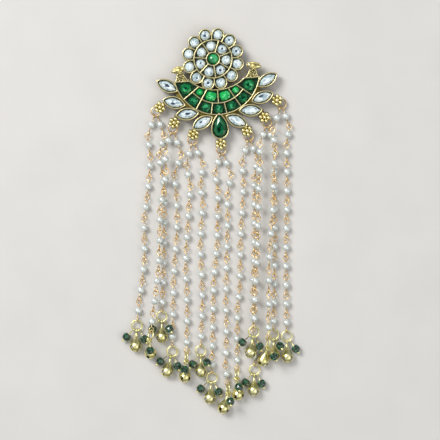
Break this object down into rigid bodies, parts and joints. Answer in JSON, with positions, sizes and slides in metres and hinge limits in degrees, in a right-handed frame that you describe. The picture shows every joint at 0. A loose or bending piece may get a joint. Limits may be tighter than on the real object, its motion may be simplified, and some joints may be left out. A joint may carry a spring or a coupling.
{
  "type": "hair brooch",
  "caption": "Hair brooch: a stone-set rosette and crescent head with linked pearl strands that end in bell and bead drops.",
  "frame": {"origin": "middle of the base of the whole brooch, on the surface on which it lies", "axes": "+X to the viewer's right, +Y up the brooch towards the rosette, +Z out of its front"},
  "size_m": [0.0714, 0.1542, 0.0086],
  "materials": {
    "antique_gold": "antiqued gilt brass, granulated on the peacock necks",
    "spring_steel": "plain strip",
    "clear_stone": "foil-backed cut glass",
    "bright_green_stone": "foil-backed cut glass",
    "dark_green_stone": "foil-backed cut glass",
    "copper_gold_wire": "bright drawn wire",
    "pearl": "cream pearl lustre",
    "bell_brass": "polished"
  },
  "bodies": {
    "root": {"setting": "antique_gold", "hair_pin": "spring_steel", "centre_stone": "bright_green_stone", "inner_stones": "clear_stone", "outer_stones": "clear_stone", "end_stone_left": "dark_green_stone", "end_stone_right": "dark_green_stone", "row_stone_1": "dark_green_stone", "row_stone_2": "dark_green_stone", "row_stone_3": "dark_green_stone", "row_stone_4": "dark_green_stone", "row_stone_5": "dark_green_stone", "arc_stone_1": "bright_green_stone", "arc_stone_2": "bright_green_stone", "arc_stone_3": "bright_green_stone", "arc_stone_4": "bright_green_stone", "leaf_stone_1": "clear_stone", "leaf_stone_2": "clear_stone", "leaf_stone_3": "clear_stone", "leaf_stone_4": "clear_stone", "leaf_stone_5": "clear_stone", "leaf_stone_6": "clear_stone", "leaf_stone_7": "clear_stone", "leaf_stone_8": "clear_stone", "pear_stone": "dark_green_stone", "ring_1": "copper_gold_wire", "ring_2": "copper_gold_wire", "ring_3": "copper_gold_wire", "ring_4": "copper_gold_wire", "ring_5": "copper_gold_wire", "ring_6": "copper_gold_wire", "ring_7": "copper_gold_wire", "strand_01": "pearl", "strand_02": "pearl", "strand_03": "pearl", "strand_04": "pearl", "strand_05": "pearl", "strand_06": "pearl", "strand_07": "pearl", "strand_08": "pearl", "strand_09": "pearl", "strand_10": "pearl", "strand_11": "pearl", "strand_12": "pearl", "strand_13": "pearl", "strand_14": "pearl", "drop_01": "bell_brass", "drop_02": "bell_brass", "drop_03": "bell_brass", "drop_04": "bell_brass", "drop_05": "bell_brass", "drop_06": "bell_brass", "drop_07": "bell_brass", "drop_08": "bell_brass", "drop_09": "bell_brass", "drop_10": "bell_brass", "drop_11": "bell_brass", "drop_12": "bell_brass", "drop_13": "bell_brass", "drop_14": "bell_brass"}
  },
  "joints": []
}
